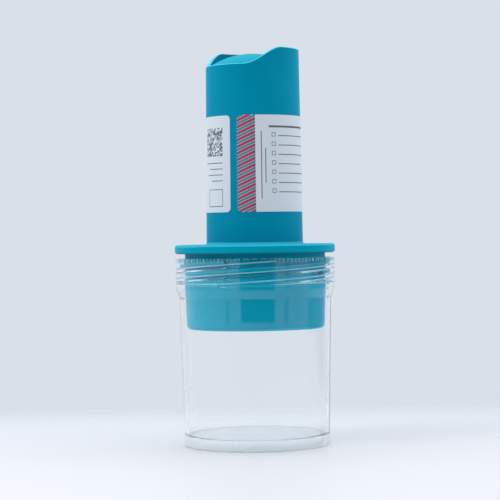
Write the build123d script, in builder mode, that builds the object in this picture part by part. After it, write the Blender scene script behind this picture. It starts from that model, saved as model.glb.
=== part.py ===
from build123d import *
from math import asin, cos, degrees, radians, sin, sqrt
import os

# Container for fixing a tissue sample: a clear jar, and a lid whose upper tube holds the liquid.
# Pressing the dome on top of the lid pushes a plug out of the tube's bottom and lets the liquid down.
# Millimetres, +Z up, origin at the middle of the jar's foot, front of the label towards -Y.

# Clearances
running_gap = 0.05        # round piece that slides or turns in another
seat_gap = 0.05           # piece seated in a fixed neighbour
liquid_gap = 0.3          # liquid to the pieces that move in it
overlap = 0.3             # how far a thread's ridge is sunk into its wall
weld_tol = 1e-4           # for joining ridges, which leave their wall at a shallow angle

# Jar
jar_height = 67.3
collar_r = 28.6
collar_wall = 1.2
collar_h = 10.7
jar_wall = 1.5
jar_taper = 1.2           # of the body's radius, from shoulder to foot
jar_edge_r = 0.9          # rounded lower edge
floor_z = 3.9             # top of the floor
floor_t = 1.5
foot_ring_w = 2.6
shoulder_w = 1.2          # sloping step from body to collar, outside
shoulder_h = 3.2
shoulder_drop = 0.4       # the same step inside, below the outer one
ledge_w = 0.7             # narrow sloping ledge at the foot of the thread
ledge_h = 0.6
ledge_rise = 2.2          # top of the ledge above the collar's lower edge

# Notches under the rim
notch_count = 56
notch_w = 1.5
notch_h = 1.1
notch_depth = 0.5
notch_drop = 0.2          # rim to the top of a notch

# Thread, three starts, right-handed
thread_starts = 3
thread_pitch = 3.3        # from one start to the next
ridge_h = 1.2             # of the jar's ridges, inwards
ridge_root_w = 1.9
ridge_crest_w = 0.9
ridge_sink = 1.0          # start of a jar ridge below the ledge's upper edge
ridge_rim_gap = 1.7       # rim to the upper end of a jar ridge
ridge_first = -28.7       # azimuth where one jar ridge starts in the ledge
lid_ridge_root_w = 1.5
lid_ridge_crest_w = 0.9
lid_ridge_rise = 4.3
lid_ridge_tip_gap = 0.4   # crest of the lid's ridge to the collar bore
lid_ridge_low = 7.3       # flange to the lower end of the lid's ridges
land_gap = 1.0            # crest of the jar's ridges to the core of the lid's thread

# Lid
lid_lift = 1.9            # flange to rim, as the lid stands in the photographed jar
flange_overhang = 0.2     # flange beyond the collar
flange_t = 3.0
flange_edge_r = 0.9
land_h = 11.6             # threaded land under the flange
insert_len = 27.2         # below the flange
insert_gap = 0.5          # insert to the top of the jar's body bore
insert_taper = 0.7        # of the insert's radius, down to its foot
insert_wall = 1.6
tube_h = 63.8             # flange to the rim of the thumb valley
tube_foot_r = 17.35
tube_taper = 0.59         # of the tube's radius, up to the valley's rim
tube_wall = 1.3
tube_fillet_r = 0.9
guard_rise = 5.85         # guard above the valley
guard_edge_r = 0.4        # rounded outer edge of valley and guard

# Thumb valley, by azimuth from its middle
valley_azimuth = -49.2
valley_flat = 38.5        # half of the level part, degrees
valley_end = 88.5         # where the guard is at full height
valley_over = 0.05        # how far the valley's ends run out above the guard
valley_sections = 28

# Bottom plate of the insert, with the outlet port
plate_t = 2.0
plate_rim_h = 3.0
plate_edge_r = 1.5
plate_spigot_h = 2.0
plate_spigot_w = 1.2
port_r = 8.0
port_wall = 2.5
port_boss_h = 2.5

# Valve plug and its seal
plug_lip_w = 1.6          # lip beyond the port
plug_lip_t = 0.7
plug_gap = 0.35           # plug to port, bridged by the seal
plug_above = 0.5          # plug above the port boss
seal_section_r = 0.9
seal_drop = 2.2           # middle of the seal below the top of the port boss
plug_socket_h = 3.5

# Press dome, its ring, and the rod under it
dome_h = 4.6
dome_t = 0.8
dome_edge_h = 0.8
ring_h = 1.6
ring_w = 1.45
shelf_w = 1.9
shelf_h = 2.0
rod_r = 2.6
rod_tip_r = 1.6
head_r = 6.5
head_t = 2.2
head_gap = 0.1
press_travel = 6.5

# Guide of the rod
guide_h = 5.0
guide_gap = 0.8           # below the pressed head and the ring's shelf
guide_rim_w = 1.2
guide_hub_w = 2.2
spoke_count = 4
spoke_w = 1.4

# Gasket under the flange
gasket_inset = 0.4        # from the collar's outside
gasket_w = 1.6
gasket_depth = 0.8        # in its groove
gasket_proud = 0.2

# Label, by azimuth
label_low = 11.4          # above the flange
label_h = 34.1
label_t = 0.12
label_gap = 0.02
label_gap_azimuth = -25.3
label_gap_w = 2.1
label_corner_r = 1.5

# Liquid
liquid_drop = 1.0         # guide to the liquid's surface
liquid_skin = 0.1         # liquid to the walls that hold it

# Heights worked out from the sizes above
rim_z = jar_height
collar_z = rim_z - collar_h
shoulder_z = collar_z - shoulder_h
ledge_z = collar_z + ledge_rise
flange_z = rim_z + lid_lift
flange_top_z = flange_z + flange_t
valley_z = flange_top_z + tube_h
guard_z = valley_z + guard_rise
insert_z = flange_z - insert_len
plate_top_z = insert_z + plate_t
skirt_end_z = insert_z + plate_rim_h
boss_z = plate_top_z + port_boss_h
land_z = flange_z - land_h
ring_top_z = valley_z - dome_edge_h
shelf_z = ring_top_z - ring_h

# Radii worked out from the sizes above
collar_bore_r = collar_r - collar_wall
ledge_r = collar_bore_r - ledge_w
jar_body_r = collar_r - shoulder_w
jar_foot_r = jar_body_r - jar_taper
jar_crest_r = collar_bore_r - ridge_h
flange_r = collar_r + flange_overhang
land_r = jar_crest_r - land_gap
insert_r = jar_body_r - jar_wall - insert_gap
insert_foot_r = insert_r - insert_taper
gasket_r = collar_r - gasket_inset - gasket_w / 2

# Thread worked out from the sizes above
lead = thread_pitch * thread_starts
ridge_z = ledge_z - ridge_sink
ridge_sweep = 360 * (rim_z - ridge_rim_gap - ridge_z) / lead
lid_ridge_z = flange_z - lid_ridge_low
lid_ridge_sweep = 360 * lid_ridge_rise / lead
lid_ridge_first = ridge_first + 360 * (lid_ridge_z - ridge_z - thread_pitch / 2) / lead


def jar_outer(z):
    """Outer radius of the jar's tapering body at a height."""
    return jar_foot_r + (jar_body_r - jar_foot_r) * z / shoulder_z


def jar_bore(z):
    """Inner radius of the jar's body at a height."""
    return jar_outer(z) - jar_wall


def insert_outer(z):
    """Outer radius of the lid's insert at a height below its land."""
    return insert_foot_r + (insert_r - insert_foot_r) * (z - insert_z) / (land_z - insert_z)


def tube_outer(z):
    """Outer radius of the lid's tube at a height, on the same draft from plate to guard."""
    return tube_foot_r - tube_taper * (z - flange_top_z) / tube_h


def tube_bore(z):
    """Inner radius of the lid's tube at a height."""
    return tube_outer(z) - tube_wall


# Dome, head, guide and liquid worked out from the sizes above
dome_edge_r = tube_bore(valley_z) - seat_gap
dome_apex_z = valley_z + dome_h
dome_r = (dome_edge_r**2 + dome_h**2) / (2 * dome_h)
dome_centre_z = dome_apex_z - dome_r
dome_inner_r = dome_r - dome_t
head_sphere_r = dome_inner_r - head_gap
head_top_z = dome_centre_z + head_sphere_r
head_low_z = head_top_z - head_t
guide_top_z = min(head_low_z - press_travel, shelf_z - shelf_h) - guide_gap
guide_z = guide_top_z - guide_h
liquid_z = guide_z - liquid_drop


def direction(azimuth):
    """Angle about Z, from +X, of an azimuth counted from the front (-Y) towards +X."""
    return azimuth - 90


def corners(profile, *places):
    """The corners of a profile nearest to the given (radius, height) places."""
    return [profile.vertices().sort_by_distance((r, z, 0))[0] for r, z in places]


def thread_ridge(root_r, crest_r, root_w, crest_w, low_z, sweep_angle, azimuth):
    """One start of the thread: a trapezoid swept up a helix, its root sunk into the wall."""
    inwards = root_r > crest_r
    sunk_r = root_r + overlap if inwards else root_r - overlap
    with BuildPart() as ridge:
        with BuildLine() as path:
            Helix(lead, lead * sweep_angle / 360, root_r, center=(0, 0, low_z))
        start = Plane(origin=path.line @ 0, x_dir=(1, 0, 0), z_dir=path.line % 0)
        with BuildSketch(start):
            with BuildLine():
                Polyline(
                    (sunk_r - root_r, -root_w / 2),
                    (0, -root_w / 2),
                    (crest_r - root_r, -crest_w / 2),
                    (crest_r - root_r, crest_w / 2),
                    (0, root_w / 2),
                    (sunk_r - root_r, root_w / 2),
                    close=True,
                )
            make_face()
        sweep(path=path.line, is_frenet=True)
    return ridge.part.rotate(Axis.Z, direction(azimuth))


# Jar: tapering body, wider threaded collar, floor raised on a foot ring
foot_bore_r = jar_foot_r - foot_ring_w
with BuildPart() as jar_body:
    with BuildSketch(Plane.XZ) as jar_profile:
        with BuildLine():
            Polyline(
                (0, floor_z - floor_t),
                (foot_bore_r, floor_z - floor_t),
                (foot_bore_r, 0),
                (jar_foot_r, 0),
                (jar_body_r, shoulder_z),
                (collar_r, collar_z),
                (collar_r, rim_z),
                (collar_bore_r, rim_z),
                (collar_bore_r, ledge_z),
                (ledge_r, ledge_z - ledge_h),
                (ledge_r, collar_z - shoulder_drop),
                (jar_bore(shoulder_z - shoulder_drop), shoulder_z - shoulder_drop),
                (jar_bore(floor_z), floor_z),
                (0, floor_z),
                close=True,
            )
        make_face()
        fillet(corners(jar_profile, (jar_foot_r, 0)), jar_edge_r)
        fillet(corners(jar_profile, (foot_bore_r, floor_z - floor_t)), jar_edge_r / 2)
        fillet(corners(jar_profile, (jar_bore(floor_z), floor_z)), jar_edge_r)
        fillet(corners(jar_profile, (collar_r, rim_z), (collar_bore_r, rim_z)), collar_wall / 4)
    revolve(axis=Axis.Z)
    with BuildSketch(Plane.XY.offset(rim_z - notch_drop - notch_h)):
        with PolarLocations(collar_bore_r, notch_count):
            Rectangle(2 * notch_depth, notch_w)
    extrude(amount=notch_h, mode=Mode.SUBTRACT)

jar_ridges = [
    thread_ridge(
        collar_bore_r,
        jar_crest_r,
        ridge_root_w,
        ridge_crest_w,
        ridge_z,
        ridge_sweep,
        ridge_first + start * 360 / thread_starts,
    )
    for start in range(thread_starts)
]
with BuildPart() as jar:
    add(jar_body.part.fuse(*jar_ridges, tol=weld_tol))
jar.part.label = "jar"

# Lid shell: tube, flange, threaded land and hollow insert in one moulding
groove_low_r = gasket_r - gasket_w / 2 - seat_gap
groove_high_r = gasket_r + gasket_w / 2 + seat_gap
annulus_bore_r = insert_r - insert_wall
with BuildPart() as lid_body:
    with BuildSketch(Plane.XZ) as lid_profile:
        with BuildLine():
            Polyline(
                (tube_bore(plate_top_z), plate_top_z),
                (tube_outer(plate_top_z), plate_top_z),
                (tube_outer(flange_z), flange_z),
                (annulus_bore_r, flange_z),
                (annulus_bore_r, skirt_end_z),
                (insert_outer(skirt_end_z), skirt_end_z),
                (insert_r, land_z),
                (land_r, land_z + (insert_r - land_r)),
                (land_r, flange_z),
                (groove_low_r, flange_z),
                (groove_low_r, flange_z + gasket_depth),
                (groove_high_r, flange_z + gasket_depth),
                (groove_high_r, flange_z),
                (flange_r, flange_z),
                (flange_r, flange_top_z),
                (tube_foot_r, flange_top_z),
                (tube_outer(guard_z), guard_z),
                (tube_bore(guard_z), guard_z),
                (tube_bore(shelf_z), shelf_z),
                (tube_bore(shelf_z) - shelf_w, shelf_z),
                (tube_bore(shelf_z) - shelf_w, shelf_z - shelf_h + shelf_w / 2),
                (tube_bore(shelf_z - shelf_h) - shelf_w / 2, shelf_z - shelf_h),
                (tube_bore(shelf_z - shelf_h), shelf_z - shelf_h),
                close=True,
            )
        make_face()
        lower_edge_r = min(flange_edge_r, flange_r - groove_high_r - seat_gap)
        fillet(corners(lid_profile, (flange_r, flange_z)), lower_edge_r)
        fillet(corners(lid_profile, (flange_r, flange_top_z)), flange_edge_r)
        fillet(corners(lid_profile, (tube_foot_r, flange_top_z)), tube_fillet_r)
        fillet(corners(lid_profile, (tube_outer(guard_z), guard_z)), guard_edge_r)
    revolve(axis=Axis.Z)

lid_ridges = [
    thread_ridge(
        land_r,
        collar_bore_r - lid_ridge_tip_gap,
        lid_ridge_root_w,
        lid_ridge_crest_w,
        lid_ridge_z,
        lid_ridge_sweep,
        lid_ridge_first + start * 360 / thread_starts,
    )
    for start in range(thread_starts)
]
with BuildPart() as lid_shell:
    add(lid_body.part.fuse(*lid_ridges, tol=weld_tol))
    # The thumb valley: a floor with a rounded outer edge, rising in an S to the guard at both ends
    valley_low_r = tube_bore(valley_z) - 2 * tube_wall
    valley_high_r = tube_outer(valley_z) + 2 * tube_wall
    valley_reach = 2 * guard_rise
    for step in range(valley_sections + 1):
        turn = valley_end * (2 * step / valley_sections - 1)
        share = max(0, abs(turn) - valley_flat) / (valley_end - valley_flat)
        rise = (guard_rise + valley_over) * share**2 * (3 - 2 * share)
        heading = radians(direction(valley_azimuth + turn))
        section = Plane(
            origin=(0, 0, valley_z + rise),
            x_dir=(cos(heading), sin(heading), 0),
            z_dir=(sin(heading), -cos(heading), 0),
        )
        edge_r = tube_outer(valley_z + rise)
        with BuildSketch(section):
            with BuildLine():
                Line((valley_low_r, 0), (edge_r - guard_edge_r, 0))
                RadiusArc((edge_r - guard_edge_r, 0), (edge_r, -guard_edge_r), guard_edge_r)
                Polyline(
                    (edge_r, -guard_edge_r),
                    (valley_high_r, -guard_edge_r),
                    (valley_high_r, valley_reach - rise),
                    (valley_low_r, valley_reach - rise),
                    (valley_low_r, 0),
                )
            make_face()
    loft(mode=Mode.SUBTRACT)
lid_shell.part.label = "lid_shell"

# Bottom plate: closes the insert, with the outlet port and a ring that centres the tube
spigot_r = annulus_bore_r - seat_gap
centring_r = tube_bore(plate_top_z) - seat_gap
with BuildPart() as bottom_plate:
    with BuildSketch(Plane.XZ) as plate_profile:
        with BuildLine():
            Polyline(
                (port_r, insert_z),
                (insert_foot_r, insert_z),
                (insert_outer(skirt_end_z), skirt_end_z),
                (spigot_r, skirt_end_z),
                (spigot_r, skirt_end_z + plate_spigot_h),
                (spigot_r - plate_spigot_w, skirt_end_z + plate_spigot_h),
                (spigot_r - plate_spigot_w, plate_top_z),
                (centring_r, plate_top_z),
                (centring_r, plate_top_z + plate_spigot_h),
                (centring_r - plate_spigot_w, plate_top_z + plate_spigot_h),
                (centring_r - plate_spigot_w, plate_top_z),
                (port_r + port_wall, plate_top_z),
                (port_r + port_wall, boss_z),
                (port_r, boss_z),
                close=True,
            )
        make_face()
        fillet(corners(plate_profile, (insert_foot_r, insert_z)), plate_edge_r)
    revolve(axis=Axis.Z)
bottom_plate.part.label = "bottom_plate"

# Press dome: a flexible cap with a thicker edge, flush with the rim of the valley
bead_r = dome_edge_r - ring_w
bead_z = dome_centre_z + sqrt(dome_inner_r**2 - bead_r**2)
outer_mid = asin(dome_edge_r / dome_r) / 2
inner_mid = asin(bead_r / dome_inner_r) / 2
with BuildPart() as press_dome:
    with BuildSketch(Plane.XZ):
        with BuildLine():
            Line((dome_edge_r, ring_top_z), (dome_edge_r, valley_z))
            ThreePointArc(
                (dome_edge_r, valley_z),
                (dome_r * sin(outer_mid), dome_centre_z + dome_r * cos(outer_mid)),
                (0, dome_apex_z),
            )
            Line((0, dome_apex_z), (0, dome_apex_z - dome_t))
            ThreePointArc(
                (0, dome_apex_z - dome_t),
                (dome_inner_r * sin(inner_mid), dome_centre_z + dome_inner_r * cos(inner_mid)),
                (bead_r, bead_z),
            )
            Line((bead_r, bead_z), (bead_r, ring_top_z))
            Line((bead_r, ring_top_z), (dome_edge_r, ring_top_z))
        make_face()
    revolve(axis=Axis.Z)
press_dome.part.label = "press_dome"

# Ring that carries the dome's edge on the tube's shelf
with BuildPart() as dome_ring:
    with BuildSketch(Plane.XY.offset(shelf_z)):
        Circle(dome_edge_r)
        Circle(dome_edge_r - ring_w, mode=Mode.SUBTRACT)
    extrude(amount=ring_h)
dome_ring.part.label = "dome_ring"

# Guide of the rod: hub, spokes and a rim that fits the tube
guide_rim_r = tube_bore(guide_top_z) - seat_gap
guide_bore_r = rod_r + running_gap
guide_hub_r = guide_bore_r + guide_hub_w
with BuildPart() as rod_guide:
    with BuildSketch(Plane.XY.offset(guide_z)):
        Circle(guide_rim_r)
        Circle(guide_rim_r - guide_rim_w, mode=Mode.SUBTRACT)
        with PolarLocations(0, spoke_count):
            with Locations((guide_rim_r / 2, 0)):
                Rectangle(guide_rim_r - guide_rim_w / 2, spoke_w)
        Circle(guide_hub_r)
        Circle(guide_bore_r, mode=Mode.SUBTRACT)
    extrude(amount=guide_h)
rod_guide.part.label = "rod_guide"

# Valve plug: fills the port, with a lip under the plate and a groove for its seal
plug_r = port_r - plug_gap
plug_top_z = boss_z + plug_above
seal_z = boss_z - seal_drop
seal_r = port_r - running_gap - seal_section_r
with BuildPart() as valve_plug:
    with BuildSketch(Plane.XY.offset(insert_z - plug_lip_t)):
        Circle(port_r + plug_lip_w)
    extrude(amount=plug_lip_t)
    with BuildSketch(Plane.XY.offset(insert_z)):
        Circle(plug_r)
    extrude(amount=plug_top_z - insert_z)
    with BuildSketch(Plane.XY.offset(plug_top_z - plug_socket_h)):
        Circle(rod_tip_r + seat_gap)
    extrude(amount=plug_socket_h, mode=Mode.SUBTRACT)
    with BuildSketch(Plane.XZ):
        with Locations((seal_r, seal_z)):
            Circle(seal_section_r)
    revolve(axis=Axis.Z, mode=Mode.SUBTRACT)
valve_plug.part.label = "valve_plug"

# Seal: round-section ring in the plug's groove
with BuildPart() as plug_seal:
    with BuildSketch(Plane.XZ):
        with Locations((seal_r, seal_z)):
            Circle(seal_section_r)
    revolve(axis=Axis.Z)
plug_seal.part.label = "plug_seal"

# Push rod: tip in the plug, mushroom head that follows the inside of the dome
head_edge_z = dome_centre_z + sqrt(head_sphere_r**2 - head_r**2)
head_mid = asin(head_r / head_sphere_r) / 2
tip_z = plug_top_z - plug_socket_h + seat_gap
with BuildPart() as push_rod:
    with BuildSketch(Plane.XZ):
        with BuildLine():
            Polyline(
                (0, head_top_z),
                (0, tip_z),
                (rod_tip_r, tip_z),
                (rod_tip_r, plug_top_z),
                (rod_r, plug_top_z),
                (rod_r, head_low_z),
                (head_r, head_low_z),
                (head_r, head_edge_z),
            )
            ThreePointArc(
                (head_r, head_edge_z),
                (head_sphere_r * sin(head_mid), dome_centre_z + head_sphere_r * cos(head_mid)),
                (0, head_top_z),
            )
        make_face()
    revolve(axis=Axis.Z)
push_rod.part.label = "push_rod"

# Gasket: flat ring in the flange's groove, standing a little proud
with BuildPart() as lid_gasket:
    with BuildSketch(Plane.XY.offset(flange_z - gasket_proud)):
        Circle(gasket_r + gasket_w / 2)
        Circle(gasket_r - gasket_w / 2, mode=Mode.SUBTRACT)
    extrude(amount=gasket_proud + gasket_depth)
lid_gasket.part.label = "lid_gasket"

# Label: one sheet round the tube, its ends a little apart, with rounded corners
label_z = flange_top_z + label_low
label_sweep = 360 - degrees(label_gap_w / tube_outer(label_z))
label_start = label_gap_azimuth + degrees(label_gap_w / tube_outer(label_z)) / 2
with BuildPart() as wrap_label:
    heading = radians(direction(label_start))
    with BuildSketch(Plane(origin=(0, 0, 0), x_dir=(cos(heading), sin(heading), 0),
                           z_dir=(sin(heading), -cos(heading), 0))):
        with BuildLine():
            Polyline(
                (tube_outer(label_z) + label_gap, label_z),
                (tube_outer(label_z) + label_gap + label_t, label_z),
                (tube_outer(label_z + label_h) + label_gap + label_t, label_z + label_h),
                (tube_outer(label_z + label_h) + label_gap, label_z + label_h),
                close=True,
            )
        make_face()
    revolve(axis=Axis.Z, revolution_arc=label_sweep)
    ends = wrap_label.edges().filter_by(lambda edge: edge.length < 2 * label_t)
    fillet(ends, label_corner_r)
wrap_label.part.label = "wrap_label"

# Liquid in the tube, clear of the rod, the plug and the port's boss
liquid_low_z = plug_top_z + liquid_gap
liquid_foot_z = plate_top_z + plate_spigot_h + liquid_skin
with BuildPart() as formalin_fill:
    with BuildSketch(Plane.XZ):
        with BuildLine():
            Polyline(
                (rod_r + liquid_gap, liquid_low_z),
                (port_r + port_wall + liquid_skin, liquid_low_z),
                (port_r + port_wall + liquid_skin, liquid_foot_z),
                (tube_bore(liquid_foot_z) - liquid_skin, liquid_foot_z),
                (tube_bore(liquid_z) - liquid_skin, liquid_z),
                (rod_r + liquid_gap, liquid_z),
                close=True,
            )
        make_face()
    revolve(axis=Axis.Z)
formalin_fill.part.label = "formalin_fill"

os.makedirs("parts", exist_ok=True)
for piece in (
    jar,
    lid_shell,
    bottom_plate,
    press_dome,
    dome_ring,
    rod_guide,
    valve_plug,
    plug_seal,
    push_rod,
    lid_gasket,
    wrap_label,
    formalin_fill,
):
    export_step(piece.part, f"parts/{piece.part.label}.step")

print("lead", lead, "mm; flange underside", round(flange_z, 3), "mm; guard top", round(guard_z, 3), "mm")
print("liquid", round(formalin_fill.part.volume / 1000, 1), "ml")
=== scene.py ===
# %% [markdown]
# # A container for fixing a tissue sample
#
# The object is a clear jar with a tall teal lid. The lid's tube holds the liquid, and a soft dome
# on top of it is pressed with the thumb to let the liquid down. In this lesson the solid pieces
# come ready made from the frame, at their real size and place. We give them their finishes,
# build the soft dome and the printed label, and light the whole as in a small light tent.
#
# First we load the frame. The dressed model has to stay inside it.

import math
import random

import bpy
import bmesh
from mathutils import Matrix, Vector


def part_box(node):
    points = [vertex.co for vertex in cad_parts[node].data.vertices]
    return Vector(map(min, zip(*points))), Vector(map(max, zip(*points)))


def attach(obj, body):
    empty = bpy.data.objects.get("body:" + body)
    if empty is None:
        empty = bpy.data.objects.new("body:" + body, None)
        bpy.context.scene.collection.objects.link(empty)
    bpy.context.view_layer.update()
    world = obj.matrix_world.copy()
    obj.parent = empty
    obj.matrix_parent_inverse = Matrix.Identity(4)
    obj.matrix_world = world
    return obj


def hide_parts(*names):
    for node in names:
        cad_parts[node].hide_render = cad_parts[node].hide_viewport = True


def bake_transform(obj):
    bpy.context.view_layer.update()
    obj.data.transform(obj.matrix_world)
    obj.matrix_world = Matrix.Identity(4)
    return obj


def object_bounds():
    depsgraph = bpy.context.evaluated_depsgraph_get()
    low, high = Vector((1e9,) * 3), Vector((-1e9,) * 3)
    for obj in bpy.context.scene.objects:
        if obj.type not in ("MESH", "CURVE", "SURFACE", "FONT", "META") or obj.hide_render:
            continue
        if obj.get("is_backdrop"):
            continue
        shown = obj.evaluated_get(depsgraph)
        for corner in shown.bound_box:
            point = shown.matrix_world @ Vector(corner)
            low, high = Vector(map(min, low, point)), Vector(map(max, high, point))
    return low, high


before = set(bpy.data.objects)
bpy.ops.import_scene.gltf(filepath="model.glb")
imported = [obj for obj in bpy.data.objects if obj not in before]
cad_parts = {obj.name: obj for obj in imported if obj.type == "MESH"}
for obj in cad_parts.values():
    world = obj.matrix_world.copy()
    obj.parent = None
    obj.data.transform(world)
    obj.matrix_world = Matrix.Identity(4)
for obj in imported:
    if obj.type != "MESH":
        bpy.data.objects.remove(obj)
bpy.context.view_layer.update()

# %% [markdown]
# Everything that we add takes its size from the pieces that are there. A node's box gives its
# lowest and highest corner, and its vertices give its radius at any height, so no size has to be
# typed twice.

# %% Read sizes from the pieces
MM = 0.001
NEAR_HEIGHT = 0.5 * MM


def radius_at(node, height):
    """The largest distance from the axis of a node's vertices near a height."""
    points = [vertex.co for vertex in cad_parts[node].data.vertices]
    near = [co for co in points if abs(co.z - height) < NEAR_HEIGHT]
    return max(math.hypot(co.x, co.y) for co in near)


def at(azimuth, radius, height):
    """A point by its azimuth in degrees, 0 at the front (-Y) and growing towards +X."""
    turn = math.radians(azimuth)
    return Vector((radius * math.sin(turn), -radius * math.cos(turn), height))


lid_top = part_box("lid_shell")[1].z
dome_low, dome_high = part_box("press_dome")
label_low, label_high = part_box("wrap_label")

# %% [markdown]
# ## The camera
#
# The picture is taken with a long lens from a little above the middle of the object, almost
# level. A long lens keeps the round edges nearly straight. The camera is turned a trifle about
# its own axis, because in the photograph the whole object leans slightly to the left.

# %% Place the camera
IMAGE_SIDE = 500
FOCAL_PIXELS = 1819.0
SENSOR = 36.0
CLIP_START, CLIP_END = 0.01, 20.0
CAMERA_DISTANCE = 0.655
CAMERA_HEIGHT = 0.075
LEVEL_ROW = 236.4
AXIS_COLUMN = 254.9
LEAN = math.radians(0.8)

camera_data = bpy.data.cameras.new("camera")
camera_data.sensor_width = SENSOR
camera_data.lens = FOCAL_PIXELS * SENSOR / IMAGE_SIDE
camera_data.clip_start = CLIP_START
camera_data.clip_end = CLIP_END
camera = bpy.data.objects.new("camera", camera_data)
bpy.context.scene.collection.objects.link(camera)
bpy.context.scene.camera = camera

pitch = math.atan((IMAGE_SIDE / 2 - LEVEL_ROW) / FOCAL_PIXELS)
yaw = math.atan((AXIS_COLUMN - IMAGE_SIDE / 2) / FOCAL_PIXELS)
level = Matrix.Rotation(math.pi / 2, 4, "X")
aim = Matrix.Rotation(yaw, 4, "Z") @ level @ Matrix.Rotation(-pitch, 4, "X")
stand = Matrix.Translation((0, -CAMERA_DISTANCE, CAMERA_HEIGHT))
camera.matrix_world = stand @ aim @ Matrix.Rotation(-LEAN, 4, "Z")
print("lens", round(camera_data.lens, 1), "mm, pitch", round(math.degrees(pitch), 2), "degrees")

# %% [markdown]
# ## Light and table
#
# A light tent is white on nearly all sides, with a dark gap where the camera looks in. We could
# build its walls from lamps, but a world that changes with direction does the same with less
# noise. Mirror-like reflections show the tent's panels one by one, as the long soft bands on the
# jar. Matt surfaces only feel their sum, so they get a smoother version.
#
# A world and a material are each a small tree of nodes. Written out in full, most of a tree is
# wiring, so we first make short functions that set a node's inputs as they make it. They take
# numbers, colours and the outputs of other nodes alike.

# %% Make nodes with their inputs set


def link(tree, value, socket):
    """Connects a socket, or sets the number or colour that is given in its place."""
    if isinstance(value, bpy.types.NodeSocket):
        tree.links.new(value, socket)
    elif isinstance(value, tuple):
        socket.default_value = value + (1.0,)
    else:
        socket.default_value = value


def node_with(tree, kind, **values):
    """A node of a kind with its named inputs set. Underscores in a name stand for spaces."""
    node = tree.nodes.new(kind)
    for name, value in values.items():
        link(tree, value, node.inputs[name.replace("_", " ")])
    return node


def math_node(tree, operation, *values):
    """A Math node. Returns its output."""
    node = tree.nodes.new("ShaderNodeMath")
    node.operation = operation
    for value, socket in zip(values, node.inputs):
        link(tree, value, socket)
    return node.outputs[0]


print("helpers: link, node_with, math_node")

# %% [markdown]
# Round the tent the brightness goes from panel to panel. A colour ramp holds that well: each
# panel is two stops of one grey, and what lies between two panels is a soft edge. Their places
# and greys were tried until the bands on the jar came close to those in the photograph.

# %% Choose the panels
PANELS = (
    # from and to in degrees of azimuth, then brightness
    (-180, -133, 0.8),
    (-133, -47, 0.95),
    (-47, -41, 0.4),
    (-41, -23, 0.95),
    (-23, 29, 0.04),
    (29, 45, 0.95),
    (45, 51, 0.4),
    (51, 87, 0.95),
    (87, 130, 0.32),
    (130, 180, 0.8),
)
SOFT_PANELS = (
    (-180, -42, 1.05),
    (-42, 42, 0.06),
    (42, 180, 1.35),
)
PANEL_EDGE, SOFT_EDGE = 2.0, 24.0


def grey(share):
    """A number as a colour."""
    return (share, share, share)


def ramp(tree, value, stops):
    """A colour ramp with the given (place, colour) stops. Returns its output."""
    node = tree.nodes.new("ShaderNodeValToRGB")
    link(tree, value, node.inputs[0])
    for _ in stops[2:]:
        node.color_ramp.elements.new(0.5)
    for element, (place, colour) in zip(node.color_ramp.elements, stops):
        element.position = place
        element.color = colour + (1.0,)
    return node.outputs[0]


def panel_ramp(tree, share, panels, edge):
    """The panels round the tent, with soft edges between them. Returns the brightness."""
    stops = []
    for low, high, bright in panels:
        soft = min(edge, (high - low) / 2) / 2
        stops += [(low + soft, bright), (high - soft, bright)]
    stops[0], stops[-1] = (-180, panels[0][2]), (180, panels[-1][2])
    return ramp(tree, share, [((turn + 180) / 360, grey(bright)) for turn, bright in stops])


print("tent panels", len(PANELS))

# %% [markdown]
# A world is coloured by direction. Its generated coordinates are that direction as a vector, and
# the angle round the upright axis comes from their X and Y. Scaled to run from 0 to 1, with the
# front in the middle, that angle is what both ramps read.

# %% Measure the direction round the tent


def split(tree, vector):
    """The X, Y and Z outputs of a vector."""
    return node_with(tree, "ShaderNodeSeparateXYZ", Vector=vector).outputs


tent = bpy.data.worlds.new("tent")
tent.use_nodes = True
bpy.context.scene.world = tent
world = tent.node_tree
world.nodes.clear()
heading = split(world, world.nodes.new("ShaderNodeTexCoord").outputs["Generated"])
front = math_node(world, "MULTIPLY", heading["Y"], -1.0)
azimuth = math_node(world, "ARCTAN2", heading["X"], front)
share = math_node(world, "ADD", math_node(world, "DIVIDE", azimuth, 2 * math.pi), 0.5)
mirrored = panel_ramp(world, share, PANELS, PANEL_EDGE)
felt = panel_ramp(world, share, SOFT_PANELS, SOFT_EDGE)
print("direction nodes", len(world.nodes))

# %% [markdown]
# What the world shows depends on how a ray came to it. The camera sees a plain backdrop, and so
# does a ray that has passed through several faces of clear plastic. A mirrored ray sees the
# panels. Every other ray, such as one that left a matt surface, sees their smooth version. The
# roof is the same for all of them.

# %% Show each ray its part of the tent
BACKDROP = (0.70, 0.745, 0.815)
BACKDROP_LEVEL = 0.78
ROOF_BRIGHT = 1.7
ROOF_FROM, ROOF_TO = 0.35, 0.8
# a ray counts as matt, or as one that went through, when its depth is over these
MATT_DEPTH, CLEAR_DEPTH = 0.5, 2.5


def mix_numbers(tree, share, first, second):
    """A Mix node for numbers. Returns its output."""
    return node_with(tree, "ShaderNodeMix", Factor=share, A=first, B=second).outputs["Result"]


def map_range(tree, value, start, end, low=0.0, high=1.0, kind="LINEAR"):
    """A value taken from one range to another, and held at its ends."""
    node = tree.nodes.new("ShaderNodeMapRange")
    node.interpolation_type = kind
    limits = {"From Min": start, "From Max": end, "To Min": low, "To Max": high}
    for name, limit in limits.items():
        node.inputs[name].default_value = limit
    link(tree, value, node.inputs["Value"])
    return node.outputs[0]


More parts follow.
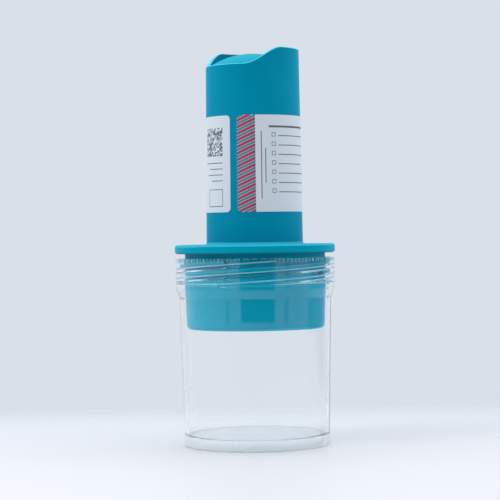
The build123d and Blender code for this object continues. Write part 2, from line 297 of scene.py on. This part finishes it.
rays = world.nodes.new("ShaderNodeLightPath").outputs
matt = math_node(world, "GREATER_THAN", rays["Diffuse Depth"], MATT_DEPTH)
through = math_node(world, "GREATER_THAN", rays["Transmission Depth"], CLEAR_DEPTH)
seen = math_node(world, "MAXIMUM", rays["Is Camera Ray"], through)
seen = math_node(world, "SUBTRACT", seen, matt)
walls = mix_numbers(world, rays["Is Glossy Ray"], felt, mirrored)
walls = mix_numbers(world, matt, walls, felt)
walls = mix_numbers(world, seen, walls, BACKDROP_LEVEL)
roof = map_range(world, heading["Z"], ROOF_FROM, ROOF_TO)
glow = node_with(
    world,
    "ShaderNodeBackground",
    Color=tuple(c / BACKDROP_LEVEL for c in BACKDROP),
    Strength=mix_numbers(world, roof, walls, ROOF_BRIGHT),
)
node_with(world, "ShaderNodeOutputWorld", Surface=glow.outputs[0])
bpy.context.scene.view_settings.view_transform = "Standard"
print("world nodes", len(world.nodes))

# %% [markdown]
# The table is a plain white sheet whose far edge lies just behind the object. It could be a
# square plane, but its front is round here, so that the jar mirrors that edge as a level line.

# %% Lay out the table
TABLE_BACK = 0.105
TABLE_FADE = 0.05
TABLE_RADIUS = 0.51
TABLE_STEPS = 36


def mesh_object(name, points, faces, smooth=True):
    """A mesh object from points and faces, linked to the scene."""
    data = bpy.data.meshes.new(name)
    data.from_pydata([tuple(p) for p in points], [], faces)
    data.validate()
    for face in data.polygons:
        face.use_smooth = smooth
    made = bpy.data.objects.new(name, data)
    bpy.context.scene.collection.objects.link(made)
    return made


table_end = TABLE_BACK + TABLE_FADE
outline = [at(-90 + 180 * k / TABLE_STEPS, TABLE_RADIUS, 0) for k in range(TABLE_STEPS + 1)]
outline += [(TABLE_RADIUS, table_end, 0), (-TABLE_RADIUS, table_end, 0)]
table = mesh_object("table", outline, [tuple(range(len(outline)))])
print("table points", len(outline))

# %% [markdown]
# A plane with a hard edge would draw a line across the picture, so the sheet's material turns
# clear over the last few centimetres and lets the backdrop through. Its colour is a little
# lighter and warmer near the camera than far from it, as in the photograph: the far part is
# painted shade.

# %% Finish the table
TABLE_COLOUR = (0.65, 0.626, 0.616)
TABLE_PAINTED_SHADE = (0.589, 0.585, 0.588)
TABLE_NEAR, TABLE_FAR = -0.07, 0.06
TABLE_ROUGHNESS = 0.45
# a Mix node has sockets of one name for each kind of value, so those for colours go by place
COLOUR_A, COLOUR_B, COLOUR_OUT = 6, 7, 2


def mix_colours(tree, share, first, second):
    """A Mix node for colours. Returns its output."""
    node = tree.nodes.new("ShaderNodeMix")
    node.data_type = "RGBA"
    link(tree, share, node.inputs["Factor"])
    link(tree, first, node.inputs[COLOUR_A])
    link(tree, second, node.inputs[COLOUR_B])
    return node.outputs[COLOUR_OUT]


def mix_shaders(tree, share, first, second):
    """A Mix Shader node. Returns its output."""
    node = tree.nodes.new("ShaderNodeMixShader")
    for value, socket in zip((share, first, second), node.inputs):
        link(tree, value, socket)
    return node.outputs[0]


def new_material(name):
    """A material with an empty node tree. Returns the material and its tree."""
    made = bpy.data.materials.new(name)
    made.use_nodes = True
    made.node_tree.nodes.clear()
    return made, made.node_tree


def end_with(tree, surface):
    """Ends a material's tree with its surface."""
    node_with(tree, "ShaderNodeOutputMaterial", Surface=surface)


table_material, tree = new_material("white_sheet")
where = split(tree, tree.nodes.new("ShaderNodeNewGeometry").outputs["Position"])
fade = map_range(tree, where["Y"], TABLE_BACK - TABLE_FADE, table_end, kind="SMOOTHSTEP")
# painted shade: the table's colour darkens towards the back
depth = map_range(tree, where["Y"], TABLE_NEAR, TABLE_FAR)
sheet = node_with(
    tree,
    "ShaderNodeBsdfPrincipled",
    Base_Color=mix_colours(tree, depth, TABLE_COLOUR, TABLE_PAINTED_SHADE),
    Roughness=TABLE_ROUGHNESS,
)
clear = tree.nodes.new("ShaderNodeBsdfTransparent")
end_with(tree, mix_shaders(tree, fade, sheet.outputs[0], clear.outputs[0]))
table.data.materials.append(table_material)
table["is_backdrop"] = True
print("table nodes", len(tree.nodes))

# %% [markdown]
# One soft lamp from the upper left gives the light its side and lays a faint shadow on the table
# to the right. It is large and weak, because the tent does most of the work.

# %% Hang a soft lamp
LAMP_AZIMUTH = -60.0
LAMP_AWAY = 0.8
LAMP_HEIGHT = 0.75
LAMP_SIZE = 0.35
LAMP_WATTS = 2.6

lamp_data = bpy.data.lights.new("softbox", "AREA")
lamp_data.shape = "SQUARE"
lamp_data.size = LAMP_SIZE
lamp_data.energy = LAMP_WATTS
lamp = bpy.data.objects.new("softbox", lamp_data)
bpy.context.scene.collection.objects.link(lamp)
lamp_place = at(LAMP_AZIMUTH, LAMP_AWAY, LAMP_HEIGHT)
towards = Vector((0, 0, lid_top / 2)) - lamp_place
turn = towards.to_track_quat("-Z", "Y").to_matrix().to_4x4()
lamp.matrix_world = Matrix.Translation(lamp_place) @ turn
print("lamp at", [round(x, 2) for x in lamp_place])

# %% [markdown]
# ## Teal moulded plastic
#
# The lid is moulded in coloured polypropylene: even in colour, slightly waxy, with a fine
# texture from the mould that breaks up reflections. One noise at the scale of the moulding's
# flow varies the colour a little, and a much finer one gives a weak bump and varies the gloss. A
# little sheen gives the waxy look of such plastic. The same function also makes the other solid
# plastics.
#
# The thin flange and the thinner insert under it are painted a lighter teal than the tube, as
# painted light: the function takes such painted lighter colours, each with the height below which
# it holds. The last of them is a painted highlight, a narrow strip along the insert's rounded
# lower edge. The lid's other rounded edges get painted highlights as light lines, so the function
# also takes a highlight colour for surfaces that face half up. It is weak on the flange and
# stronger at the top.

# %% Helpers for the colour of a moulding
PAINTED_LIGHT_BLEND = 0.4 * MM
# painted highlight on rounded edges that face half up, weak low down and stronger at the top
HIGHLIGHT_SHARES = ((0.12, 0.0), (0.4, 1.0), (0.9, 1.0), (0.985, 0.0))
HIGHLIGHT_LOW, HIGHLIGHT_HIGH = 72.2 * MM, 100 * MM
HIGHLIGHT_WEAK, HIGHLIGHT_STRONG = 0.3, 0.75
FLOW_SCALE, FLOW_DETAIL = 45.0, 3.0
FLOW_DARK, FLOW_LIGHT = 0.3, 0.7


def noise(tree, vector, scale, detail):
    """A noise texture. Returns its factor."""
    node = node_with(tree, "ShaderNodeTexNoise", Vector=vector, Scale=scale, Detail=detail)
    return node.outputs["Fac"]


def flow_tint(tree, coords, colour, variation):
    """A colour that drifts between a darker and a lighter one."""
    flow = noise(tree, coords["Object"], FLOW_SCALE, FLOW_DETAIL)
    dark = tuple(c * (1 - variation) for c in colour)
    light = tuple(min(1.0, c * (1 + variation)) for c in colour)
    return ramp(tree, flow, [(FLOW_DARK, dark), (FLOW_LIGHT, light)])


def painted_highlight_share(tree, coords, height):
    """How much of the painted highlight shows, by which way the surface faces and by its height.
    """
    facing = split(tree, coords["Normal"])
    rounded = ramp(tree, facing["Z"], [(place, grey(share)) for place, share in HIGHLIGHT_SHARES])
    strength = map_range(tree, height, HIGHLIGHT_LOW, HIGHLIGHT_HIGH, HIGHLIGHT_WEAK, HIGHLIGHT_STRONG)
    return math_node(tree, "MULTIPLY", rounded, strength)


print("rim colour from", round(HIGHLIGHT_LOW / MM, 1), "mm up")

# %% [markdown]
# With the colour settled, the rest of a moulding is its gloss and relief. Both come from one
# fine noise, because on the real part both come from the same mould surface.

# %% Make moulded plastics
TEXTURE_SCALE, TEXTURE_DETAIL = 2600.0, 2.0
TEXTURE_DEPTH = 0.05 * MM
TEXTURE_BUMP = 0.04
GLOSS_SPREAD = 0.05
WAXY_TINT = (0.0, 0.75, 0.9)
WAXY_ROUGHNESS = 0.4
COAT_ROUGHNESS = 0.25


def bumped(tree, height, strength, distance):
    """A surface direction that is tilted by a height."""
    node = node_with(tree, "ShaderNodeBump", Strength=strength, Distance=distance, Height=height)
    return node.outputs["Normal"]


def moulded(
    name, colour, roughness, variation=0.06, specular=0.5, painted_light=(), painted_highlight=None, waxy=0.0, coat=0.0
):
    """A plain moulded plastic, with painted light low down and on its rims where asked."""
    made, tree = new_material(name)
    coords = tree.nodes.new("ShaderNodeTexCoord").outputs
    height = split(tree, coords["Object"])["Z"]
    tint = flow_tint(tree, coords, colour, variation)
    # painted light: lighter teals below the given heights
    for top, painted_tone in painted_light:
        below = map_range(tree, height, top + PAINTED_LIGHT_BLEND, top - PAINTED_LIGHT_BLEND)
        tint = mix_colours(tree, below, tint, painted_tone)
    if painted_highlight:
        tint = mix_colours(tree, painted_highlight_share(tree, coords, height), tint, painted_highlight)
    grain = noise(tree, coords["Object"], TEXTURE_SCALE, TEXTURE_DETAIL)
    rough = map_range(tree, grain, 0.0, 1.0, roughness - GLOSS_SPREAD, roughness + GLOSS_SPREAD)
    shader = node_with(
        tree,
        "ShaderNodeBsdfPrincipled",
        Base_Color=tint,
        Roughness=rough,
        Normal=bumped(tree, grain, TEXTURE_BUMP, TEXTURE_DEPTH),
        Specular_IOR_Level=specular,
        Coat_Weight=coat,
        Coat_Roughness=COAT_ROUGHNESS,
        Sheen_Weight=waxy,
        Sheen_Tint=WAXY_TINT,
        Sheen_Roughness=WAXY_ROUGHNESS,
    )
    end_with(tree, shader.outputs[0])
    return made


def finish_nodes(material, *nodes):
    """Gives pieces from the frame their material."""
    for node in nodes:
        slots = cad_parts[node].data.materials
        slots.clear()
        slots.append(material)
    print(material.name, "on", ", ".join(nodes))


# %% [markdown]
# The inner pieces are left in the plastic's natural white, the plug's seal ring is black rubber,
# and the ring under the flange is a dark soft one.

# %% Finish the lid and the inner pieces
TEAL = (0.0, 0.235, 0.355)
PAINTED_LIGHT_TEALS = (
    # height below which it holds, then painted lighter colour: flange, insert, insert's lower edge
    (72.2 * MM, (0.0, 0.285, 0.40)),
    (66.5 * MM, (0.0, 0.315, 0.44)),
    (42.7 * MM, (0.0, 0.52, 0.66)),
)
# painted highlight colour of the lid's rounded edges
PAINTED_HIGHLIGHT_TEAL = (0.10, 0.68, 0.80)
NATURAL_WHITE = (0.78, 0.80, 0.80)
SEAL_BLACK = (0.02, 0.02, 0.022)
GASKET_DARK = (0.0, 0.10, 0.15)

teal_plastic = moulded(
    "teal_moulding",
    TEAL,
    roughness=0.42,
    specular=0.02,
    painted_light=PAINTED_LIGHT_TEALS,
    painted_highlight=PAINTED_HIGHLIGHT_TEAL,
    waxy=0.22,
)
natural_plastic = moulded("natural_moulding", NATURAL_WHITE, roughness=0.42, variation=0.02)
black_rubber = moulded("seal_rubber", SEAL_BLACK, roughness=0.55, variation=0.15)
gasket_rubber = moulded("gasket_rubber", GASKET_DARK, roughness=0.6, variation=0.1)
finish_nodes(teal_plastic, "lid_shell", "bottom_plate")
finish_nodes(natural_plastic, "dome_ring", "rod_guide", "valve_plug", "push_rod")
finish_nodes(black_rubber, "plug_seal")
finish_nodes(gasket_rubber, "lid_gasket")

# %% [markdown]
# ## Clear plastic
#
# The jar is clear polystyrene. A full glass shader bends light at both faces of the wall, which
# draws the fine upright lines inside the jar's edge.
#
# The thread's upper flanks, the ledge below it and the notches under the rim are less well
# polished than the walls, and catch the light as fine white lines. We find them by height and by
# which way the surface faces: where it faces up, or stands across the round wall as a notch's
# sides do, a frost factor makes the plastic rougher and a little milky. The jar's foot is thick,
# and shows as a faint bluish band, so below the floor the plastic is given a little of that milk
# as well.

# %% Find the frosted places
FROST_LOW, FROST_HIGH = 57.6 * MM, 67.2 * MM
FROST_RADIUS = 28.2 * MM
NOTCH_LOW = 65.9 * MM
FACES_UP = 0.15
FACES_OUT = 0.85


def frost(tree, coords):
    """A factor that is 1 inside the collar where the surface faces up or is a notch's side.

    Seen from inside the plastic a face's direction comes turned round, so it is turned back.
    """
    where = split(tree, coords["Object"])
    facing = split(tree, coords["Normal"])
    across = math_node(tree, "MULTIPLY", where["X"], facing["X"])
    across = math_node(tree, "MULTIPLY_ADD", where["Y"], facing["Y"], across)
    squares = math_node(tree, "MULTIPLY", where["X"], where["X"])
    squares = math_node(tree, "MULTIPLY_ADD", where["Y"], where["Y"], squares)
    away = math_node(tree, "SQRT", squares)
    radial = math_node(tree, "ABSOLUTE", math_node(tree, "DIVIDE", across, away))
    inside = tree.nodes.new("ShaderNodeNewGeometry").outputs["Backfacing"]
    turned_back = math_node(tree, "MULTIPLY_ADD", inside, -2.0, 1.0)
    upwards = math_node(tree, "MULTIPLY", facing["Z"], turned_back)
    upper = math_node(tree, "GREATER_THAN", upwards, FACES_UP)
    notched = math_node(tree, "GREATER_THAN", where["Z"], NOTCH_LOW)
    upper = math_node(tree, "MAXIMUM", upper, notched)
    factor = math_node(tree, "MULTIPLY", math_node(tree, "LESS_THAN", radial, FACES_OUT), upper)
    for operation, value, limit in (
        ("GREATER_THAN", where["Z"], FROST_LOW),
        ("LESS_THAN", where["Z"], FROST_HIGH),
        ("LESS_THAN", away, FROST_RADIUS),
    ):
        factor = math_node(tree, "MULTIPLY", factor, math_node(tree, operation, value, limit))
    return factor


print("frost from", round(FROST_LOW / MM, 1), "to", round(FROST_HIGH / MM, 1), "mm")

# %% [markdown]
# The jar and the liquid share one recipe. A very weak, slow relief stands for the ripples that
# even polished plastic has, and the jar gets the frosted places and a glossy coat on top, whose
# reflections of the tent are the bands in front of the insert.

# %% Make the clear plastics
WAVE_SCALE, WAVE_DETAIL = 60.0, 1.0
WAVE_BUMP = 0.03
WAVE_DEPTH = 0.2 * MM
FROST_ROUGHNESS = 0.3
FROST_CLEAR = 0.3
FROST_TINT = (0.45, 0.92, 1.0)
BASE_TOP = 3.85 * MM
BASE_CLEAR = 0.6
BASE_TINT = (0.81, 0.845, 0.86)


def milky(tree, coords, colour, roughness):
    """The shader values that change on the frosted places and below the floor."""
    factor = frost(tree, coords)
    base = math_node(tree, "LESS_THAN", split(tree, coords["Object"])["Z"], BASE_TOP)
    clear_share = mix_numbers(tree, factor, 1.0, FROST_CLEAR)
    milk = mix_colours(tree, factor, colour, FROST_TINT)
    return {
        "Roughness": mix_numbers(tree, factor, roughness, FROST_ROUGHNESS),
        "Transmission_Weight": mix_numbers(tree, base, clear_share, BASE_CLEAR),
        "Base_Color": mix_colours(tree, base, milk, BASE_TINT),
    }


def see_through(name, colour, index, shadow, roughness=0.0, coat=0.0, frosted=False):
    """A clear solid that bends light, and lets lamps through with a little loss."""
    made, tree = new_material(name)
    coords = tree.nodes.new("ShaderNodeTexCoord").outputs
    waves = noise(tree, coords["Object"], WAVE_SCALE, WAVE_DETAIL)
    values = {"Base_Color": colour, "Roughness": roughness, "Transmission_Weight": 1.0}
    if frosted:
        values = milky(tree, coords, colour, roughness)
    shader = node_with(
        tree,
        "ShaderNodeBsdfPrincipled",
        IOR=index,
        Coat_Weight=coat,
        Normal=bumped(tree, waves, WAVE_BUMP, WAVE_DEPTH),
        **values,
    )
    clear = node_with(tree, "ShaderNodeBsdfTransparent", Color=shadow)
    lamps = tree.nodes.new("ShaderNodeLightPath").outputs["Is Shadow Ray"]
    end_with(tree, mix_shaders(tree, lamps, shader.outputs[0], clear.outputs[0]))
    return made


clear_plastic = see_through(
    "clear_moulding",
    (0.985, 0.995, 1.0),
    index=1.2,
    shadow=(0.985, 0.99, 0.992),
    roughness=0.02,
    coat=0.42,
    frosted=True,
)
clear_liquid = see_through(
    "clear_liquid", (0.99, 0.995, 1.0), index=1.34, shadow=(0.97, 0.98, 0.98)
)
finish_nodes(clear_plastic, "jar")
finish_nodes(clear_liquid, "formalin_fill")

# %% [markdown]
# ## The press dome
#
# The dome is a soft cap that sinks under the thumb, so it can't be one rigid piece. We turn its
# profile about the axis as a fresh mesh with many rings, so that there is enough of it to bend.
# A sphere cut by a plane would do for the top, but the real dome has a wall, a bead at its edge
# and a hollow underside, and a profile holds all of them.

# %% Draw the dome's profile
DOME_WALL = 0.8 * MM
DOME_BEAD = 0.8 * MM
BEAD_WIDTH = 1.45 * MM
EDGE_ROUND = 0.25 * MM
CAP_RINGS = 26

dome_r = dome_high.x
edge_z = dome_low.z + DOME_BEAD
apex_z = dome_high.z
cap_h = apex_z - edge_z
sphere_r = (dome_r**2 + cap_h**2) / (2 * cap_h)
centre_z = apex_z - sphere_r


def arc(radius, half_width):
    """Points of a sphere's section from its apex out to a half width."""
    widest = math.asin(half_width / radius)
    turns = [widest * k / CAP_RINGS for k in range(CAP_RINGS + 1)]
    return [(radius * math.sin(turn), centre_z + radius * math.cos(turn)) for turn in turns]


cap = arc(sphere_r, dome_r - EDGE_ROUND)
under = arc(sphere_r - DOME_WALL, dome_r - BEAD_WIDTH)[::-1]
bead = [
    (dome_r, edge_z - EDGE_ROUND),
    (dome_r, dome_low.z + EDGE_ROUND),
    (dome_r - EDGE_ROUND, dome_low.z),
    (dome_r - BEAD_WIDTH, dome_low.z),
]
print("dome radius", round(dome_r / MM, 2), "mm, height", round(cap_h / MM, 2), "mm")

# %% [markdown]
# The turned surface is closed: its first and last points lie on the axis, and a fan of triangles
# joins each of them to the ring next to it.

# %% Turn the profile
TURN_STEPS = 160
# the dome's teal is painted lighter than the lid's, as painted light from above
SOFT_TOP_LIT_TEAL = (0.0, 0.33, 0.425)


def turned(name, profile):
    """A closed surface of revolution from (radius, height) points that ends on the axis."""
    points = [Vector((0, 0, profile[0][1]))]
    rings = profile[1:-1]
    for radius, height in rings:
        points += [at(360 * step / TURN_STEPS, radius, height) for step in range(TURN_STEPS)]
    points.append(Vector((0, 0, profile[-1][1])))
    last = len(points) - 1
    outermost = 1 + (len(rings) - 1) * TURN_STEPS
    faces = []
    for step in range(TURN_STEPS):
        after = (step + 1) % TURN_STEPS
        faces.append((0, 1 + step, 1 + after))
        for ring in range(len(rings) - 1):
            low, high = 1 + ring * TURN_STEPS, 1 + (ring + 1) * TURN_STEPS
            faces.append((low + step, high + step, high + after, low + after))
        faces.append((outermost + step, last, outermost + after))
    made = mesh_object(name, points, faces)
    shape = bmesh.new()
    shape.from_mesh(made.data)
    bmesh.ops.recalc_face_normals(shape, faces=shape.faces)
    shape.to_mesh(made.data)
    shape.free()
    return made


press_dome = turned("soft_dome", cap + bead + under)
soft_plastic = moulded("soft_teal", SOFT_TOP_LIT_TEAL, roughness=0.5, specular=0.012, coat=0.07)
press_dome.data.materials.append(soft_plastic)
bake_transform(press_dome)
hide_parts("press_dome")
print("dome faces", len(press_dome.data.polygons))

# %% [markdown]
# ## The label
#
# The label is a sheet of coated paper wrapped round the tube, with rounded corners and a narrow
# gap between its ends. We lay it out flat, in millimetres from its left end and its lower edge,
# and one function wraps any flat point round the tapering tube. The same function then places
# the print, so print and paper can't drift apart.

# %% Wrap flat points round the tube
LABEL_START = -19.8
LABEL_GAP = 9.0

label_bottom_r = radius_at("wrap_label", label_low.z)
label_top_r = radius_at("wrap_label", label_high.z)
label_height = label_high.z - label_low.z
label_mid_r = (label_bottom_r + label_top_r) / 2
label_length = math.radians(360 - LABEL_GAP) * label_mid_r


def wrapped(along, up, lift=0.0):
    """The place of a flat point: along from the left end, up from the lower edge, and lifted."""
    azimuth = LABEL_START + math.degrees(along / label_mid_r)
    radius = label_bottom_r + (label_top_r - label_bottom_r) * up / label_height
    return at(azimuth, radius + lift, label_low.z + up)


print("label", round(label_length / MM, 1), "by", round(label_height / MM, 1), "mm")

# %% [markdown]
# The sheet is a closed thin box in columns, each with four points: two on its face and two on
# its back. Near the ends the columns stand closer together and get shorter, which rounds the
# corners.

# %% Make the paper
LABEL_THICK = 0.12 * MM
CORNER = 1.5 * MM
CORNER_STEPS = 8
COLUMN = 0.9 * MM


def sheet_columns():
    """Positions along the label, close together in its corners."""
    turns = [math.pi / 2 * k / CORNER_STEPS for k in range(CORNER_STEPS + 1)]
    corner = [CORNER * (1 - math.cos(turn)) for turn in turns]
    count = int((label_length - 2 * CORNER) / COLUMN)
    middle = [CORNER + (label_length - 2 * CORNER) * k / count for k in range(1, count)]
    return corner + middle + [label_length - x for x in reversed(corner)]


def corner_cut(along):
    """How far the rounded corner takes the sheet's edge in at a place along it."""
    near = min(along, label_length - along)
    if near >= CORNER:
        return 0.0
    return CORNER - math.sqrt(max(0.0, CORNER**2 - (CORNER - near) ** 2))


points, faces = [], []
for along in sheet_columns():
    low, high = corner_cut(along), label_height - corner_cut(along)
    for up, lift in ((low, 0.0), (high, 0.0), (high, -LABEL_THICK), (low, -LABEL_THICK)):
        points.append(wrapped(along, up, lift))
for column in range(len(points) // 4 - 1):
    base = 4 * column
    for side in range(4):
        after = (side + 1) % 4
        faces.append((base + side, base + 4 + side, base + 4 + after, base + after))
last = len(points) - 4
faces += [(0, 1, 2, 3), (last + 3, last + 2, last + 1, last)]
label = mesh_object("paper_label", points, faces, smooth=False)
print("label columns", len(points) // 4)

# %% [markdown]
# Coated paper is matt white with a trace of fibre. The fibre is a stretched noise that changes
# the colour and the relief very little: from a step away the sheet is plain, and close up it
# isn't a flat colour. The inks are the same paper in other colours.

# %% Finish the paper
FIBRE_SCALE, FIBRE_DETAIL = 1800.0, 5.0
FIBRE_STRETCH = 3.0
FIBRE_BUMP = 0.06
FIBRE_DEPTH = 0.03 * MM
FIBRE_DARK = 0.95
PAPER_ROUGHNESS = 0.5
PAPER_WHITE = (0.60, 0.66, 0.695)


def paper(name, colour):
    """Coated paper: faint fibre in colour and relief."""
    made, tree = new_material(name)
    coords = tree.nodes.new("ShaderNodeTexCoord").outputs
    stretch = node_with(tree, "ShaderNodeMapping", Vector=coords["Object"])
    stretch.inputs["Scale"].default_value = (1.0, 1.0, FIBRE_STRETCH)
    fibre = noise(tree, stretch.outputs[0], FIBRE_SCALE, FIBRE_DETAIL)
    dark = tuple(c * FIBRE_DARK for c in colour)
    shader = node_with(
        tree,
        "ShaderNodeBsdfPrincipled",
        Base_Color=ramp(tree, fibre, [(0.0, dark), (1.0, colour)]),
        Normal=bumped(tree, fibre, FIBRE_BUMP, FIBRE_DEPTH),
        Roughness=PAPER_ROUGHNESS,
    )
    end_with(tree, shader.outputs[0])
    return made


label.data.materials.append(paper("coated_paper", PAPER_WHITE))
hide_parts("wrap_label")
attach(label, "lid")
print("label faces", len(faces))

# %% [markdown]
# ## The print
#
# The real label is full of words and signs that this model leaves out. In their place it carries
# what any blank form has: a hatched colour band, write-on rules, tick boxes and a speckled
# square that stands for a machine-read code and holds no message. A picture wrapped round the
# sheet would need a file, so each ink is one thin mesh instead, lifted a hair off the paper and
# cut into short steps along the sheet so that it follows the curve.

# %% Lay flat patches of ink
INK_LIFT = 0.012 * MM
INK_STEP = 0.8 * MM


class Ink:
    """Collects flat patches of one ink and makes them one mesh on the label."""

    def __init__(self, name):
        self.name, self.points, self.faces = name, [], []

    def strip(self, left, right, left_ends, right_ends):
        """A patch between two upright edges, each with its own lower and upper end."""
        count = max(1, math.ceil((right - left) / INK_STEP))
        start = len(self.points)
        for k in range(count + 1):
            share = k / count
            along = left + (right - left) * share
            for here, there in zip(left_ends, right_ends):
                self.points.append(wrapped(along, here + (there - here) * share, INK_LIFT))
        for k in range(count):
            base = start + 2 * k
            self.faces.append((base, base + 2, base + 3, base + 1))

    def patch(self, left, right, low, high):
        """A level patch."""
        self.strip(left, right, (low, high), (low, high))

    def box(self, left, right, low, high, line):
        """Four thin patches round a box."""
        self.patch(left, right, low, low + line)
        self.patch(left, right, high - line, high)
        self.patch(left, left + line, low + line, high - line)
        self.patch(right - line, right, low + line, high - line)

    def make(self, material):
        """The ink as an object that rides with the lid."""
        made = mesh_object(self.name, self.points, self.faces, smooth=False)
        made.data.materials.append(material)
        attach(made, "lid")
        print(self.name, "patches", len(self.faces))
        return made


print("ink steps of", round(INK_STEP / MM, 1), "mm")

# %% [markdown]
# The colour band runs up the label's left end. Its slanting stripes, in two inks, are cut off at
# the sheet's edge and its rounded corners.

# %% Print the hatched band
BAND_WIDTH = 6.6 * MM
HATCH_RISE = 3.0 * MM
HATCH_STEP = 2.3 * MM
RED_WIDTH = 1.1 * MM
BLUE_WIDTH = 0.9 * MM
BLUE_INK = (0.09, 0.17, 0.26)
RED_INK = (0.34, 0.035, 0.07)


def hatch(ink, phase, width):
    """Slanting stripes across the band, kept within the sheet."""
    columns = [x for x in sheet_columns() if x < BAND_WIDTH] + [BAND_WIDTH]
    for k in range(int((label_height + HATCH_RISE) / HATCH_STEP) + 1):
        foot = k * HATCH_STEP + phase - HATCH_RISE
        for left, right in zip(columns, columns[1:]):
            ends = []
            for along in (left, right):
                low = foot + HATCH_RISE * along / BAND_WIDTH
                edge_low, edge_high = corner_cut(along), label_height - corner_cut(along)
                ends.append([min(max(up, edge_low), edge_high) for up in (low, low + width)])
            if all(high > low for low, high in ends):
                ink.strip(left, right, *ends)


red, blue = Ink("band_red"), Ink("band_blue")
hatch(red, 0.0, RED_WIDTH)
hatch(blue, RED_WIDTH + (HATCH_STEP - RED_WIDTH - BLUE_WIDTH) / 2, BLUE_WIDTH)
red.make(paper("red_ink", RED_INK))
blue.make(paper("blue_ink", BLUE_INK))

# %% [markdown]
# Next to the band stand a heading rule, seven tick boxes with their write-on rules, and two
# upright rules. Their places are measured from the label's left end and its lower edge.

# %% Print the form
GREY_INK = (0.10, 0.11, 0.13)
HEADING = (11.5 * MM, 31.0 * MM, 29.6 * MM, 30.3 * MM)
LINE = 0.3 * MM
BOX_LEFT = 12.6 * MM
BOX_SIDE = 1.5 * MM
BOX_DROP = 0.2 * MM
BOX_LINE = 0.2 * MM
RULE_LEFT = BOX_LEFT + 2.6 * MM
RULE_LENGTHS = (17.0, 15.5, 18.5, 13.5, 17.5, 16.0, 14.5)
RULE_TOP = 26.6 * MM
RULE_STEP = 3.3 * MM
SIDE_RULES = ((8.6 * MM, 4.6 * MM, 28.4 * MM), (10.1 * MM, 10.2 * MM, 22.4 * MM))

dark = Ink("form_rules")
dark.patch(*HEADING)
for k, length in enumerate(RULE_LENGTHS):
    up = RULE_TOP - k * RULE_STEP
    low = up - BOX_DROP
    dark.box(BOX_LEFT, BOX_LEFT + BOX_SIDE, low, low + BOX_SIDE, BOX_LINE)
    dark.patch(RULE_LEFT, RULE_LEFT + length * MM, up, up + LINE)
for along, low, high in SIDE_RULES:
    dark.patch(along, along + LINE, low, high)
print("form rules", len(RULE_LENGTHS) + len(SIDE_RULES))

# %% [markdown]
# At the label's right end stands the speckled square, with four short rules and an empty box
# below it. The speckle is drawn by chance from a fixed seed, so it is the same in every run and
# says nothing.

# %% Print the speckled square
MODULE = 0.5 * MM
MODULES = 20
SPECKLE_SEED = 7
SPECKLE_SHARE = 0.5
CODE_RIGHT = label_length - 3.2 * MM
CODE_LOW = 19.9 * MM
CODE_RULES = ((17.3, 10.0), (15.2, 7.4), (13.1, 8.6), (11.0, 6.0))
EMPTY_BOX = (CODE_RIGHT - 8.0 * MM, CODE_RIGHT, 2.0 * MM, 8.2 * MM)
EMPTY_BOX_LINE = 0.25 * MM

speckle = random.Random(SPECKLE_SEED)
for column in range(MODULES):
    for row in range(MODULES):
        if speckle.random() < SPECKLE_SHARE:
            left = CODE_RIGHT - (MODULES - column) * MODULE
            low = CODE_LOW + row * MODULE
            dark.patch(left, left + MODULE, low, low + MODULE)
for up, length in CODE_RULES:
    dark.patch(CODE_RIGHT - length * MM, CODE_RIGHT, up * MM, up * MM + LINE)
dark.box(*EMPTY_BOX, EMPTY_BOX_LINE)
dark.make(paper("dark_ink", GREY_INK))

# %% [markdown]
# ## Closing
#
# The script measures the dressed model's box.

# %% Measure the dressed model
low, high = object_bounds()
